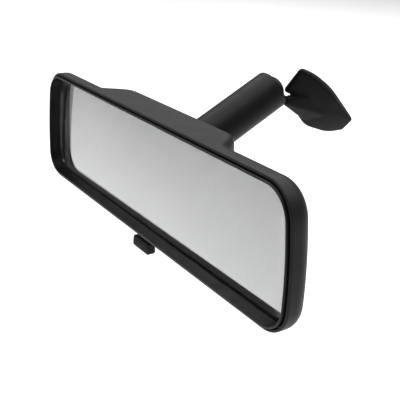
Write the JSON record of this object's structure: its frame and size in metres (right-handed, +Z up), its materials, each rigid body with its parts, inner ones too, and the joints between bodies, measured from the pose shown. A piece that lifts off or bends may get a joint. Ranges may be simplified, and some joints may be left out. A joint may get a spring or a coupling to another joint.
{
  "type": "interior rearview mirror",
  "caption": "Interior car rearview mirror: flip-dimming prism glass in a long black housing, double-ball stem and leaf-shaped windscreen foot.",
  "frame": {"origin": "middle of the outer face of the foot's adhesive pad, the face that sticks to the windscreen", "axes": "+X along the length of the glass, to the right as the driver sees it, +Z up, the glass faces -Y and the stem runs towards +Y"},
  "size_m": [0.2491, 0.1378, 0.0973],
  "materials": {
    "housing_black": "fine grain, satin",
    "bezel_black": "smooth satin",
    "clear_glass": "polished, ground edge",
    "silvering": "silvered",
    "foam": "open-cell foam",
    "zinc_plate": "zinc plated",
    "spring_steel": "blued spring steel",
    "bright_steel": "drawn, plated",
    "brass": "plain",
    "nylon": "natural nylon",
    "stud_black": "black phosphate",
    "tube_black": "fine black powder coat",
    "foot_black": "fine black powder coat on die-cast zinc",
    "pad_foam": "grey acrylic foam tape",
    "lever_black": "satin"
  },
  "bodies": {
    "foot": {"foot_casting": "foot_black", "stud_groove_pins": "bright_steel", "foot_back_plate": "zinc_plate", "plate_screws": "bright_steel", "windscreen_pad": "pad_foam"},
    "foot_stud": {"foot_ball_stud": "stud_black"},
    "foot_seat": {"foot_seat": "nylon"},
    "stem": {"stem_tube": "tube_black", "stem_spring": "spring_steel", "head_seat": "nylon"},
    "head_liner": {"head_ball_liner": "nylon"},
    "head_stud": {"head_ball_stud": "stud_black", "head_stud_clip": "spring_steel"},
    "bracket": {"pivot_bracket": "zinc_plate", "hinge_bushes": "nylon", "toggle_spring": "spring_steel", "spring_rivets": "brass"},
    "head": {"rear_housing": "housing_black", "bezel_ring": "bezel_black", "prism_glass": "clear_glass", "silver_backing": "silvering", "foam_pad": "foam", "hinge_pin": "bright_steel", "lever_pin": "bright_steel"},
    "lever": {"day_night_lever": "lever_black", "drive_pin": "bright_steel"}
  },
  "joints": [
    {"name": "foot_spin", "type": "hinge", "parent": "foot", "child": "foot_stud", "pos_m": [-0.00976, -0.03296, 0.00487], "axis": [0.3546, 0.8631, -0.3595], "range_deg": [-80, 80]},
    {"name": "foot_swing", "type": "hinge", "parent": "foot_stud", "child": "foot_seat", "pos_m": [-0.00976, -0.03296, 0.00487], "axis": [-0.897, 0.2055, -0.3914], "range_deg": [0, 86]},
    {"name": "stem_twist", "type": "hinge", "parent": "foot_seat", "child": "stem", "pos_m": [-0.00976, -0.03296, 0.00487], "axis": [0, 0.8854, 0.4648], "range_deg": [-90, 90]},
    {"name": "head_yaw", "type": "hinge", "parent": "stem", "child": "head_liner", "pos_m": [-0.00976, -0.07369, -0.01651], "axis": [0, -0.4648, 0.8854], "range_deg": [-25, 25]},
    {"name": "head_pitch", "type": "hinge", "parent": "head_liner", "child": "head_stud", "pos_m": [-0.00976, -0.07369, -0.01651], "axis": [1, 0, 0], "range_deg": [-25, 25]},
    {"name": "head_roll", "type": "hinge", "parent": "head_stud", "child": "bracket", "pos_m": [-0.00976, -0.07369, -0.01651], "axis": [0, 0.8854, 0.4648], "range_deg": [-20, 20]},
    {"name": "day_night_flip", "type": "hinge", "parent": "bracket", "child": "head", "pos_m": [-0.00976, -0.09795, -0.00871], "axis": [1, 0, 0], "range_deg": [0, 4.4]},
    {"name": "tab_turn", "type": "hinge", "parent": "head", "child": "lever", "pos_m": [-0.00976, -0.09995, -0.06351], "axis": [1, 0, 0], "range_deg": [0, 22.51]}
  ],
  "couplings": [
    {"joint": "tab_turn", "follows": "day_night_flip", "ratio": 5.1136}
  ]
}
